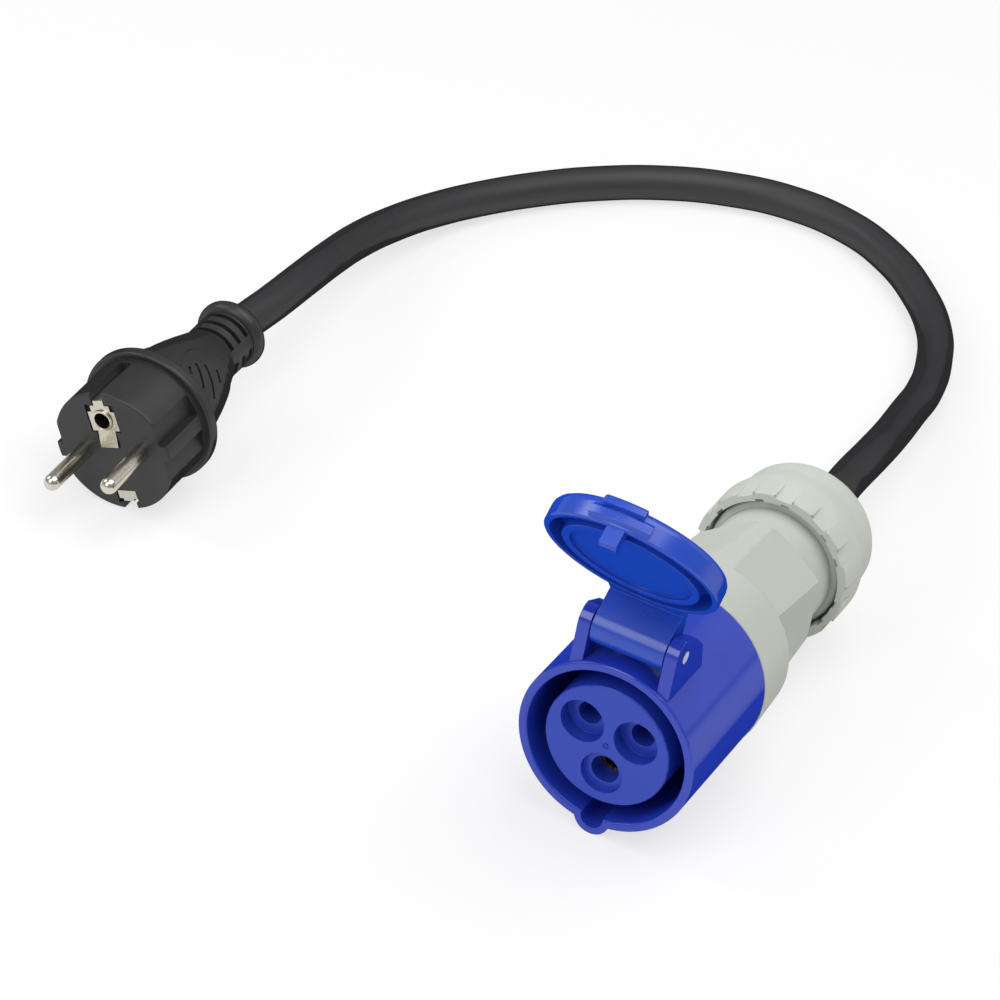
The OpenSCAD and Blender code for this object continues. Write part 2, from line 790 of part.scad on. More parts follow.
module rear_shell() {
  spigot_r = seat_r - seat_gap;
  turned(concat([[0, spigot_y], [spigot_r, spigot_y]], snap_bead(spigot_r, 0), [[spigot_r, housing_length]],
    arc([collar_r - edge_round, housing_length + edge_round], edge_round, 270, 360),
    [[collar_end_r, collar_end_y - edge_round], [body_start_r, collar_end_y],
    [body_end_r, body_end_y - edge_round], [body_end_r - edge_round, body_end_y],
    [neck_r, body_end_y + past], [neck_r, stop_y], [stop_r - edge_round, stop_y],
    [stop_r, stop_y + edge_round], [stop_r, stop_end_y], [neck_r, stop_end_y], [neck_r, thread_y]],
    thread_points(), [[thread_root_r, neck_end_y], [0, neck_end_y]]));
}

// Crests and roots of the neck's thread, drawn as rings
function thread_points() = [for (y = [thread_y:thread_pitch:neck_end_y - thread_pitch])
  each [[thread_root_r, y], [thread_r, y + thread_pitch / 4], [thread_r, y + thread_pitch / 2],
  [thread_root_r, y + thread_pitch * 3 / 4]]];

module rear_void() {
  turned([[0, spigot_y - past], [chamber_r, spigot_y - past], [chamber_r, chamber_end_y], [waist_r, waist_y],
    [waist_r, waist_end_y], [cage_seat_r - past, body_end_y], [cage_seat_r - past, gland_wall_y],
    [gland_hole_r, gland_wall_y], [gland_hole_r, cage_y], [cage_seat_r, cage_y],
    [cage_seat_r, neck_end_y + past], [0, neck_end_y + past]]);
}

// Gland nut with grip hollows and inner ratchet teeth

module gland_nut() {
  color("#c8ccc6") at_coupler() {
    difference() {
      nut_shell();
      for (i = [0:nut_hollows - 1]) facing(90 + 360 * i / nut_hollows)
        translate([-nut_hollow_w / 2, nut_y - past, nut_r - nut_hollow]) rotate([nut_hollow_tilt, 0, 0])
        cube([nut_hollow_w, nut_hollow_length + past, nut_r]);
      nut_void();
      nut_notches();
    }
    along_y(ratchet_y) linear_extrude(ratchet_length + seat_gap) ratchet_outline();
  }
}

module nut_shell() {
  turned(concat([[0, nut_y]], arc([nut_r - edge_round, nut_y + edge_round], edge_round, 270, 360),
    [[nut_r, nut_taper_y], [nut_dome_r, nut_taper_end_y]],
    [for (i = [0:dome_steps]) let (a = 90 * i / dome_steps)
      [nut_crown_r + (nut_dome_r - nut_crown_r) * cos(a), nut_dome_y + (nut_end_y - nut_dome_y) * sin(a)]],
    [[0, nut_end_y]]));
}

module nut_void() {
  turned([[0, nut_y - past], [nut_lip_r, nut_y - past], [nut_lip_r, nut_y + nut_lip_t],
    [nut_mouth_r, nut_y + nut_lip_t], [nut_mouth_r, thread_y], [nut_thread_r, thread_y],
    [nut_thread_r, nut_shoulder_y], [nut_hole_r + 4, nut_shoulder_y], [nut_hole_r, nut_shoulder_y + 4],
    [nut_hole_r, nut_end_y + past], [0, nut_end_y + past]]);
}

// Pairs of notches through the lip at the nut's mouth
module nut_notches() {
  for (i = [0:nut_notch_pairs - 1], side = [-1, 1])
    facing(nut_notch_angle + 360 * i / nut_notch_pairs + side * nut_notch_spread)
    translate([-nut_notch_w / 2, nut_y - past, nut_lip_r - past])
    cube([nut_notch_w, nut_lip_t + past, nut_mouth_r - nut_lip_r + past]);
}

// Ring whose inner edge is a row of saw teeth
module ratchet_outline() {
  step = 360 / ratchet_teeth;
  tip_r = nut_mouth_r - ratchet_deep;
  root_r = nut_mouth_r - ratchet_root;
  difference() {
    circle(r = nut_mouth_r + ratchet_root);
    polygon([for (i = [0:ratchet_teeth - 1]) each [tip_r * [cos(i * step), sin(i * step)],
      root_r * [cos((i + 0.75) * step), sin((i + 0.75) * step)]]]);
  }
}

module thrust_washer() {
  color("#d8d8d2") at_coupler() ring_y(washer_r, nut_hole_r, washer_y, washer_y + washer_t);
}

module clamp_cage() {
  color("#e6e6e0") at_coupler() difference() {
    ring_y(cage_r, cage_in_r, cage_y, cage_end_y);
    for (i = [0:cage_slots / 2 - 1]) rotate([0, 360 * i / cage_slots, 0])
      translate([-cage_slot_w / 2, cage_end_y - cage_slot_length, -cage_r - past])
      cube([cage_slot_w, cage_slot_length + past, 2 * (cage_r + past)]);
  }
}

module gland_seal() {
  color("#26262a") at_coupler() ring_y(seal_r, cable_d / 2 + cable_fit, cage_y, seal_end_y);
}

// Cable

function plug_axis_point(y) = plug_at
  + y * [-sin(plug_yaw) * cos(plug_pitch), cos(plug_yaw) * cos(plug_pitch), sin(plug_pitch)];

module cable() {
  path = concat([[0, cable_end_y - origin_back, axis_height], [0, nut_y - origin_back, axis_height],
    [0, nut_end_y + cable_lead - origin_back, axis_height]], cable_route,
    [plug_axis_point(plug_length), plug_axis_point(plug_length - cord_hole_depth)]);
  color("#2b2b2d") tube(path, [for (q = path) [0, 0, 1]], cable_d / 2, cable_sides);
}

// Moulded plug

module plug_body() {
  color("#2f2f31") at_plug() difference() {
    union() {
      plug_shell();
      grip_pads();
    }
    guide_recesses();
    grip_groove_cuts();
    for (side = [-1, 1]) translate([side * pin_spacing / 2, 0, 0])
      rod_y(pin_stem_r + seat_gap, -past, pin_embed);
    translate([0, 0, earth_socket_rise]) rod_y(socket_hole_r, -past, socket_depth);
    clip_space();
    rod_y(cable_d / 2 + seat_gap, plug_length - cord_hole_depth, plug_length + past);
    relief_slots();
  }
}

function grip_radius(t) = relief_r + (grip_r - relief_r) * cos(90 * t);

function grip_points() = [for (i = [0:grip_steps]) let (t = i / grip_steps)
  [grip_radius(t), flange_end_y + (relief_y - flange_end_y) * t]];

module plug_shell() {
  ring_y = plug_length - end_ring_t;
  turned(concat([[0, 0]], arc([plug_face_r - plug_round, plug_round], plug_round, 270, 360),
    [[plug_face_r, flange_y]],
    arc([flange_r - flange_round, flange_y + flange_round], flange_round, 270, 360),
    arc([flange_r - flange_round, flange_end_y - flange_round], flange_round, 0, 90), grip_points(),
    [[relief_r, ring_y]],
    arc([end_ring_r - end_ring_round, ring_y + end_ring_round], end_ring_round, 270, 360),
    arc([end_ring_r - end_ring_round, plug_length - end_ring_round], end_ring_round, 0, 90),
    [[0, plug_length]]));
}

// Round body of the grip, thicker by the given amount
module grip_core(thicker) {
  turned(concat([[0, plug_block_length], [grip_r + thicker, plug_block_length]],
    [for (p = grip_points()) [p[0] + thicker, p[1]]], [[0, relief_y]]));
}

module grip_pads() {
  intersection() {
    grip_core(grip_pad_proud);
    across_x(2 * flange_r) translate([grip_pad_y, 0]) circle(r = grip_pad_r);
  }
}

// Slanting grooves, of even depth below the pads
module grip_groove_cuts() {
  difference() {
    for (turn = [0, 180], ends = grip_grooves) rotate([0, turn, 0]) grip_groove(ends[0], ends[1]);
    grip_core(grip_pad_proud - grip_groove_depth);
  }
}

module grip_groove(from, to) {
  run = to - from;
  translate([0, flange_end_y + from[0], from[1]]) rotate([atan2(run[1], run[0]), 0, 0])
    translate([0, 0, -grip_groove_w / 2]) cube([flange_r, norm(run), grip_groove_w]);
}

module guide_recesses() {
  for (turn = [0, 180], low = [guide_low, -guide_high])
    rotate([0, turn, 0]) translate([guide_floor, -past, low])
    cube([plug_face_r, guide_end_y + past, guide_high - guide_low]);
}

module relief_slots() {
  last_y = plug_length - end_ring_t - relief_slot_gap - relief_slot_w;
  for (i = [0:relief_rows - 1], turn = [0, 180])
    along_y(last_y - i * relief_pitch) rotate([0, 0, turn + slot_bridge / 2])
    rotate_extrude(angle = slot_sweep) translate([relief_core_r, 0]) square([relief_r, relief_slot_w]);
}

module plug_pin(side) {
  color("#d8d3c6") at_plug() translate([side * pin_spacing / 2, 0, 0]) {
    rod_y(pin_r, pin_r - pin_length, 0);
    rod_y(pin_stem_r, -past, pin_embed);
    translate([0, pin_r - pin_length, 0]) sphere(r = pin_r);
  }
}

module plug_pin_left() {
  plug_pin(-1);
}

module plug_pin_right() {
  plug_pin(1);
}

module plug_earth_socket() {
  color("#d8d3c6") at_plug() translate([0, 0, earth_socket_rise])
    ring_y(earth_socket_r + socket_wall, earth_socket_r, -socket_proud, socket_depth - seat_gap);
}

// Earth clip and the space that the body leaves for it

module plug_earth_clip() {
  color("#d0ccc0") at_plug() {
    difference() {
      union() {
        clip_box(clip_top_w, clip_neck_z, clip_top_z);
        clip_box(clip_wide_w, clip_waist_z, clip_neck_z);
        clip_box(clip_arm_w, clip_top_z - past, arm_z + clip_t);
        across_x(clip_tongue_w) polygon([[clip_y, clip_waist_z + past], [clip_y, clip_waist_z],
          [clip_y - tongue_lift, clip_tongue_z], [clip_back_y - tongue_lift, clip_tongue_z],
          [clip_back_y, clip_waist_z], [clip_back_y, clip_waist_z + past]]);
      }
      translate([0, 0, earth_socket_rise]) rod_y(socket_hole_r, -past, clip_back_y + past);
    }
    clip_box(clip_low_w, -arm_z, -clip_low_z);
    for (turn = [0, 180]) rotate([0, turn, 0]) across_x(clip_arm_w) arm_outline();
    translate([-clip_arm_w / 2, strap_y, -arm_z - clip_t]) cube([clip_arm_w, clip_t, 2 * (arm_z + clip_t)]);
  }
}

// Flat stretch of the stamping on the plug's face
module clip_box(w, z0, z1) {
  translate([-w / 2, clip_y, z0]) cube([w, clip_t, z1 - z0]);
}

// Bowed arm along a groove, from the face to the strap
module arm_outline() {
  polygon([[clip_y, arm_z], [clip_y, arm_z + clip_t], [arm_end_y * 0.3, arm_z + clip_t + arm_bow],
    [arm_end_y * 0.6, arm_z + clip_t + arm_bow], [arm_end_y, arm_z + clip_t], [arm_end_y, arm_z],
    [arm_end_y * 0.6, arm_z + arm_bow], [arm_end_y * 0.3, arm_z + arm_bow], [clip_back_y, arm_z]]);
}

module clip_space() {
  face_cut(clip_wide_w, clip_waist_z, clip_top_z);
  face_cut(clip_tongue_w, clip_tongue_z, clip_waist_z);
  face_cut(clip_arm_w, clip_top_z, plug_face_r);
  face_cut(clip_low_w, -arm_z - clip_t, -clip_low_z);
  groove_cut(top_groove_w, groove_floor);
  groove_cut(low_groove_w, -plug_face_r - past);
  translate([-clip_arm_w / 2 - seat_gap, strap_y - seat_gap, -arm_z - past])
    cube([clip_arm_w + 2 * seat_gap, clip_t + 2 * seat_gap, 2 * (arm_z + past)]);
}

// Shallow pocket in the plug's face for a stretch of the stamping
module face_cut(w, z0, z1) {
  translate([-w / 2 - pocket_gap, -past, z0 - pocket_gap])
    cube([w + 2 * pocket_gap, clip_back_y + past + seat_gap, z1 - z0 + 2 * pocket_gap]);
}

module groove_cut(w, z0) {
  translate([-w / 2, -past, z0]) cube([w, groove_end_y + past, plug_face_r + past - groove_floor]);
}
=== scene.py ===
# %% [markdown]
# # Adapter cable
# A short rubber cable joins a black earthed plug to a blue coupler with a sprung lid.
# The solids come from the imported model, already in metres and in place, so this lesson
# only dresses them: it films them from the photograph's angle, rounds the edges that a mould
# can't make sharp, lays the cable and gives every moulding and metal its finish.

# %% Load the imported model
import math

import bpy
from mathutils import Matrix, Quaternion, Vector


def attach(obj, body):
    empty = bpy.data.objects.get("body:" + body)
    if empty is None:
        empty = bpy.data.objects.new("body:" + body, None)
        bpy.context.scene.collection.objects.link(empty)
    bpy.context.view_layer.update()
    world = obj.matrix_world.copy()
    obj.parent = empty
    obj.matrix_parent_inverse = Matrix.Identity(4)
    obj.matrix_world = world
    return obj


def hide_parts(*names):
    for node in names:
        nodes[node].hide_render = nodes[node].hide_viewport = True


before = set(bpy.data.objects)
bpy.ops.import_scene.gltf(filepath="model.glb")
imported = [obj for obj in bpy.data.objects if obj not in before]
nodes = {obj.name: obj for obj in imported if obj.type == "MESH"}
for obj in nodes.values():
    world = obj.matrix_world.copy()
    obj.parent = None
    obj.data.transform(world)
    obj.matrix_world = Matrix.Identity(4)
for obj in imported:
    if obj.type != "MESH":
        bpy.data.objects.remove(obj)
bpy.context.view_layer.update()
mm = 0.001
bpy.ops.object.select_all(action="DESELECT")

# %% [markdown]
# ## Camera
# A long lens flattens the perspective, as product photographs do. The camera stands in front
# and to the right of the coupler, looks down on it and is rolled a little, which is why the
# upright lid leans in the picture.

# %% Camera at the photograph's angle
lens = 162
sensor = 36
camera_place = Vector((0.3162, -0.9026, 0.7094))
camera_forward = Vector((-0.3194, 0.7645, -0.5599))
camera_roll = math.radians(9.34)

bpy.ops.object.camera_add(location=camera_place)
camera = bpy.context.object
camera.name = "photo_camera"
camera.data.lens = lens
camera.data.sensor_width = sensor
camera.rotation_mode = "QUATERNION"
level = camera_forward.to_track_quat("-Z", "Y")
camera.rotation_quaternion = level @ Quaternion((0, 0, 1), camera_roll)
bpy.context.scene.camera = camera
bpy.context.scene.view_settings.view_transform = "Standard"
right_axis = camera.rotation_quaternion @ Vector((1, 0, 0))
print("camera lens", lens, "mm, right axis", [round(c, 4) for c in right_axis])

# %% [markdown]
# ## Edges of the mouldings
# Molten plastic never fills a perfectly sharp corner, so every real edge carries a thin rounding
# that catches the light as a bright line. A solid from the model has sharp edges, so each
# moulding gets a copy: its loose triangles are merged, flat areas are joined to single faces,
# and a Bevel modifier rounds only the edges that turn by more than a set angle. A rounding that
# is wider than the strip beside it would turn faces inside out, so each edge carries a weight
# that narrows it to the room there. The nut's fine ratchet has no such room and only gets the
# even shading: weighted normals let the large faces decide, so that flats stay flat beside
# their roundings. The copy stands for the solid and moves with the same body.

# %% Rounded copies of the mouldings
weld = 0.002 * mm
flat_angle = math.radians(0.05)
sharp_angle = math.radians(32)
room_share = 0.4
same_line = 0.8


def edge_run(mesh, key):
    """Vector from one end of an edge to the other."""
    return mesh.vertices[key[1]].co - mesh.vertices[key[0]].co


def edge_room(mesh, radius):
    """How wide each sharp edge can be rounded, up to the radius, and 0 for the other edges."""
    faces_at = {}
    for face in mesh.polygons:
        for key in face.edge_keys:
            faces_at.setdefault(key, []).append(face)
    turn = {key: pair[0].normal.angle(pair[-1].normal, 0) for key, pair in faces_at.items()}
    sharp = {key for key, angle in turn.items() if angle > sharp_angle}
    room = [0.0] * len(mesh.edges)
    for edge in mesh.edges:
        if edge.key not in sharp:
            continue
        along = edge_run(mesh, edge.key).normalized()
        reach = [radius]
        for face in faces_at[edge.key]:
            for side in face.edge_keys:
                run = edge_run(mesh, side)
                goes_on = side in sharp and abs(run.normalized().dot(along)) > same_line
                if len(set(side) & set(edge.key)) == 1 and not goes_on:
                    reach.append(room_share * run.cross(along).length)
        room[edge.index] = min(reach)
    return room


def round_edges(piece, radius):
    """Bevels the sharp edges of the active piece, each as wide as its room allows."""
    weights = piece.data.attributes.new("bevel_weight_edge", "FLOAT", "EDGE")
    weights.data.foreach_set("value", [width / radius for width in edge_room(piece.data, radius)])
    rounding = piece.modifiers.new("rounded_edges", "BEVEL")
    rounding.limit_method = "WEIGHT"
    rounding.width = radius
    rounding.segments = 3
    rounding.use_clamp_overlap = False
    bpy.ops.object.modifier_apply(modifier=rounding.name)


def soften(node_name, body, radius):
    """Copy of a node with rounded edges, which stands for the node."""
    piece = bpy.data.objects.new(node_name + "_moulding", nodes[node_name].data.copy())
    bpy.context.scene.collection.objects.link(piece)
    bpy.ops.object.select_all(action="DESELECT")
    piece.select_set(True)
    bpy.context.view_layer.objects.active = piece
    bpy.ops.object.mode_set(mode="EDIT")
    bpy.ops.mesh.select_all(action="SELECT")
    bpy.ops.mesh.remove_doubles(threshold=weld)
    bpy.ops.mesh.dissolve_limited(angle_limit=flat_angle)
    bpy.ops.object.mode_set(mode="OBJECT")
    if radius:
        round_edges(piece, radius)
    bpy.ops.object.shade_smooth_by_angle(angle=sharp_angle)
    evening = piece.modifiers.new("flat_faces_stay_flat", "WEIGHTED_NORMAL")
    evening.keep_sharp = True
    bpy.ops.object.modifier_apply(modifier=evening.name)
    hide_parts(node_name)
    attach(piece, body)
    return piece


mouldings = {
    "front_housing": soften("front_housing", "connector", 0.12 * mm),
    "contact_insert": soften("contact_insert", "connector", 0.2 * mm),
    "lid": soften("lid", "lid", 0.12 * mm),
    "rear_housing": soften("rear_housing", "connector", 0.2 * mm),
    "gland_nut": soften("gland_nut", "nut", 0),
    "plug_body": soften("plug_body", "connector", 0.08 * mm),
    "plug_earth_clip": soften("plug_earth_clip", "connector", 0.12 * mm),
}
print("rounded:", {name: len(piece.data.polygons) for name, piece in mouldings.items()})

# %% [markdown]
# ## Cable
# A cable is a fixed length of something bendy, so it is a curve with a round section and not
# a row of tubes. The points are the ones that the solid follows: straight out of the nut, down
# to the table, round in one wide bow and up into the plug. Blender pads a curve's box by each
# point's radius, so the points carry the cable's radius and the bevel's depth only multiplies it.

# %% Cable as a curve
cable_d = 11 * mm
gland_start = (0, 48.8, 27.5)
nut_end = (0, 75.8, 27.5)
cable_route = [
    (0, 87.8, 27.5), (-1.5, 104.6, 25), (-3, 125.1, 21), (-5, 145.1, 16.5), (-7.5, 165.1, 12.5),
    (-10, 185.1, 9), (-15, 205.1, 6.5), (-23, 224.1, 5.6), (-35.5, 240.6, 5.6), (-51, 254.1, 5.6),
    (-69.5, 262.6, 5.6), (-90.5, 263.6, 5.6), (-110, 257.6, 5.6), (-127.5, 247.1, 5.6), (-143, 233.1, 5.6),
    (-155.5, 217.1, 6), (-166.5, 199.1, 6.5), (-174, 180.1, 8), (-177.5, 160.1, 11), (-178, 139.6, 15),
    (-176.5, 119.6, 19), (-174.5, 99.6, 22.5), (-173.5, 79.1, 24.5), (-174.2, 59.1, 24.7), (-174, 47.2, 23.6),
]

cable_points = [Vector(p) * mm for p in [gland_start, nut_end] + cable_route]
cable_data = bpy.data.curves.new("cable_sheath", "CURVE")
cable_data.dimensions = "3D"
cable_data.bevel_depth = 1.0
cable_data.bevel_resolution = 10
cable_data.resolution_u = 16
cable_data.use_fill_caps = True
spline = cable_data.splines.new("BEZIER")
spline.bezier_points.add(len(cable_points) - 1)
for knot, place in zip(spline.bezier_points, cable_points):
    knot.co = place
    knot.radius = cable_d / 2
    knot.handle_left_type = "AUTO"
    knot.handle_right_type = "AUTO"
cable = bpy.data.objects.new("cable_sheath", cable_data)
bpy.context.scene.collection.objects.link(cable)
cable_length = spline.calc_length()

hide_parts("cable")
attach(cable, "connector")
print("cable length", round(cable_length, 3), "m")

# %% [markdown]
# ## Helpers
# Every material below is a small tree of nodes. Short functions keep those trees readable: one
# turns a colour as it is written into the light that Blender mixes, one adds a node and fills
# its inputs, two open and close a material, and the last mixes two colours.

# %% Node helpers
# places of the colour sockets among a Mix node's inputs, and of its colour output
mix_share, mix_first, mix_second = 0, 6, 7
mix_colour = 2


def linear(hex_colour, alpha=1.0):
    """sRGB hex to the linear colour that Blender mixes."""
    channels = [int(hex_colour[i:i + 2], 16) / 255 for i in (1, 3, 5)]
    return tuple(c / 12.92 if c <= 0.04045 else ((c + 0.055) / 1.055) ** 2.4 for c in channels) + (alpha,)


def add_node(tree, kind, inputs=None, **settings):
    """Adds one shader node, sets it up and links or fills its inputs."""
    made = tree.nodes.new(kind)
    for name, value in settings.items():
        setattr(made, name, value)
    for socket, value in (inputs or {}).items():
        if isinstance(value, bpy.types.NodeSocket):
            tree.links.new(value, made.inputs[socket])
        else:
            made.inputs[socket].default_value = value
    return made


def new_material(name):
    """Empty material, with its node tree."""
    material = bpy.data.materials.new(name)
    material.use_nodes = True
    material.node_tree.nodes.clear()
    return material, material.node_tree


def finish_material(material, shader):
    """Joins the shader to the material's output."""
    add_node(material.node_tree, "ShaderNodeOutputMaterial", {"Surface": shader.outputs[0]})
    return material


def two_tone(tree, share, first, second):
    """Mixes two written colours by the given share."""
    inputs = {mix_share: share, mix_first: linear(first), mix_second: linear(second)}
    return add_node(tree, "ShaderNodeMix", inputs, data_type="RGBA").outputs[mix_colour]


print("white is", linear("#ffffff"))

# %% [markdown]
# ## Studio
# A product photograph has a white ground and a faint shadow. Floor and backdrop are pale paper
# that the lamps light, but the camera and anything that mirrors the paper see most of it as plain white:
# a Light Path node tells those rays apart. The share that is left to the lit paper keeps the shadow.
# Three softboxes do the lighting, a wide one overhead and two smaller ones at the left and in
# front, which show as soft streaks on the glossy blue mouldings.

# %% Floor and lamps
floor_size = 3
backdrop_middle = (1.6, 1.8, 0.85)
backdrop_size = (2.8, 1.4, 1)
white_share = 0.7
room_light = 0.33


def softbox(name, place, aim, size, power):
    """Rectangular area lamp, turned to the point it lights."""
    data = bpy.data.lights.new(name, "AREA")
    data.shape = "RECTANGLE"
    data.size, data.size_y = size
    data.energy = power
    lamp = bpy.data.objects.new(name, data)
    lamp.location = place
    lamp.rotation_euler = (Vector(aim) - Vector(place)).to_track_quat("-Z", "Y").to_euler()
    bpy.context.scene.collection.objects.link(lamp)
    return lamp


bpy.ops.mesh.primitive_plane_add(size=floor_size, location=(0, 0, 0))
floor = bpy.context.object
floor.name = "studio_floor"
bpy.ops.mesh.primitive_plane_add(size=1, location=backdrop_middle, rotation=(math.pi / 2, 0, 0))
backdrop = bpy.context.object
backdrop.name = "studio_backdrop"
backdrop.scale = backdrop_size
paper, paper_tree = new_material("seamless_paper")
lit_paper = add_node(paper_tree, "ShaderNodeBsdfDiffuse", {"Color": linear("#f4f4f4")})
white_paper = add_node(paper_tree, "ShaderNodeEmission", {"Color": linear("#ffffff"), "Strength": 1.0})
ray = add_node(paper_tree, "ShaderNodeLightPath").outputs
mirrored = add_node(
    paper_tree, "ShaderNodeMath",
    {0: ray["Is Glossy Ray"], 1: ray["Is Transmission Ray"]}, operation="MAXIMUM")
seen = add_node(
    paper_tree, "ShaderNodeMath", {0: ray["Is Camera Ray"], 1: mirrored.outputs[0]}, operation="MAXIMUM")
share = add_node(
    paper_tree, "ShaderNodeMath", {0: seen.outputs[0], 1: white_share}, operation="MULTIPLY")
paper_shade = add_node(
    paper_tree, "ShaderNodeMixShader",
    {0: share.outputs[0], 1: lit_paper.outputs[0], 2: white_paper.outputs[0]})
finish_material(paper, paper_shade)
for sheet in (floor, backdrop):
    sheet.data.materials.append(paper)

middle = (-0.08, 0.08, 0.03)
softbox("overhead_softbox", (0.22, 0.1, 1.05), middle, (1.1, 0.9), 8.5)
softbox("left_softbox", (-1.0, -0.15, 0.75), middle, (0.3, 0.5), 2.5)
softbox("front_softbox", (-0.35, -0.9, 0.8), middle, (0.5, 0.9), 5.0)

world = bpy.data.worlds.new("studio_room")
world.use_nodes = True
world.node_tree.nodes.clear()
room = add_node(
    world.node_tree, "ShaderNodeBackground", {"Color": linear("#ffffff"), "Strength": room_light})
add_node(world.node_tree, "ShaderNodeOutputWorld", {"Surface": room.outputs[0]})
bpy.context.scene.world = world

# %% [markdown]
# ## Moulded polyamide
# The coupler's shells are pigmented polyamide, injected into steel moulds. The pigment is even,
# with faint clouds where the melt flowed together, and the skin copies the mould: polished for
# the blue housing and lid, spark-eroded for the insert and the grey shells. So one function
# mixes two close pigments over slow clouds, lets handling marks sway the gloss a little, and
# presses the tool's grain in as a bump. Real grain is near 0.1 mm, too fine for this picture,
# so it is drawn at 0.5 mm. Grain also shades itself at grazing angles, so a moulded skin mirrors
# less towards its outline, and the gloss fades there.

# %% Moulded polyamide
flow_size = 22 * mm
smudge_size = 9 * mm
grain_size = 0.5 * mm
grain_depth = 0.04 * mm
gloss_sway = 0.03
gloss_full = 0.35
gloss_gone = 0.65


def fading_gloss(tree, level):
    """Mirror strength of a moulded skin: full from the front, lost at grazing angles in its own grain."""
    turned = add_node(tree, "ShaderNodeLayerWeight", {"Blend": 0.5})
    fade = add_node(tree, "ShaderNodeMapRange", {
        "Value": turned.outputs["Facing"], "From Min": gloss_full, "From Max": gloss_gone,
        "To Min": level, "To Max": 0.0})
    return fade.outputs[0]


def moulded_polyamide(name, colour, shade, roughness, sheen, grain):
    """Injection-moulded polyamide: even pigment, soft flow clouds, gloss or satin from the tool's grain."""
    material, tree = new_material(name)
    place = add_node(tree, "ShaderNodeTexCoord").outputs["Object"]
    clouds = add_node(tree, "ShaderNodeTexNoise", {"Vector": place, "Scale": 1 / flow_size, "Detail": 3.0})
    pigment = two_tone(tree, clouds.outputs[0], colour, shade)
    marks = add_node(tree, "ShaderNodeTexNoise", {"Vector": place, "Scale": 1 / smudge_size, "Detail": 2.0})
    gloss = add_node(tree, "ShaderNodeMapRange", {
        "Value": marks.outputs[0], "To Min": roughness - gloss_sway, "To Max": roughness + gloss_sway})
    pits = add_node(tree, "ShaderNodeTexNoise", {"Vector": place, "Scale": 1 / grain_size, "Detail": 2.0})
    relief = add_node(tree, "ShaderNodeBump", {
        "Height": pits.outputs[0], "Strength": grain, "Distance": grain_depth})
    shader = add_node(tree, "ShaderNodeBsdfPrincipled", {
        "Base Color": pigment, "Roughness": gloss.outputs[0], "Normal": relief.outputs[0],
        "IOR": 1.53, "Specular IOR Level": fading_gloss(tree, sheen)})
    return finish_material(material, shader)


finishes = {
    "front_housing": moulded_polyamide("polished_blue_polyamide", "#2840ba", "#243ab0", 0.16, 0.5, 0.05),
    "contact_insert": moulded_polyamide("eroded_blue_polyamide", "#2c47bb", "#2740b1", 0.36, 0.35, 0.3),
    "lid": moulded_polyamide("polished_lid_polyamide", "#1f4abf", "#1a43b4", 0.28, 0.55, 0.02),
    "rear_housing": moulded_polyamide("eroded_grey_polyamide", "#c3c7bf", "#bbc0b8", 0.42, 0.4, 0.35),
    "gland_nut": moulded_polyamide("eroded_nut_polyamide", "#c8ccc4", "#c0c5bd", 0.42, 0.4, 0.35),
    "thrust_washer": moulded_polyamide("natural_polyamide", "#dad9cf", "#d2d1c6", 0.38, 0.4, 0.2),
    "clamp_cage": moulded_polyamide("natural_cage_polyamide", "#e2e1d8", "#dad9ce", 0.38, 0.4, 0.2),
}
print("polyamide finishes:", len(finishes))

# %% [markdown]
# ## Rubber
# Plug, cable sheath and gland seal are filled black rubber. Its skin is never quite black: a thin
# bloom of talc and dust lies on it in clouds and scatters light, most on the matt cable. The
# plug is moulded, so its grain is even in all directions.

# %% Moulded rubber
bloom_size = 6 * mm
dust_size = 0.9 * mm


def moulded_rubber(name, colour, bloom, roughness, sheen):
    """Moulded filled rubber: near black, satin, with a pale bloom in clouds and a fine even grain."""
    material, tree = new_material(name)
    place = add_node(tree, "ShaderNodeTexCoord").outputs["Object"]
    clouds = add_node(tree, "ShaderNodeTexNoise", {"Vector": place, "Scale": 1 / bloom_size, "Detail": 6.0})
    skin = two_tone(tree, clouds.outputs[0], colour, bloom)
    gloss = add_node(tree, "ShaderNodeMapRange", {
        "Value": clouds.outputs[0], "To Min": roughness - 0.08, "To Max": roughness + 0.08})
    dust = add_node(tree, "ShaderNodeTexNoise", {"Vector": place, "Scale": 1 / dust_size, "Detail": 2.0})
    relief = add_node(tree, "ShaderNodeBump", {
        "Height": dust.outputs[0], "Strength": 0.35, "Distance": grain_depth})
    shader = add_node(tree, "ShaderNodeBsdfPrincipled", {
        "Base Color": skin, "Roughness": gloss.outputs[0], "Normal": relief.outputs[0],
        "IOR": 1.52, "Specular IOR Level": fading_gloss(tree, sheen)})
    return finish_material(material, shader)


finishes["plug_body"] = moulded_rubber("moulded_plug_rubber", "#272728", "#313133", 0.4, 0.4)
finishes["gland_seal"] = moulded_rubber("moulded_seal_rubber", "#202022", "#2a2a2c", 0.6, 0.2)
print("moulded rubber:", finishes["plug_body"].name, finishes["gland_seal"].name)

# %% [markdown]
# ## Sheath
# The cable's sheath is extruded through a die, so its marks run along it. The texture follows
# the curve's own UV map, in which the first axis runs along the cable and the second round it.

# %% Extruded rubber sheath
streak_length = 30 * mm
streak_width = 1.2 * mm


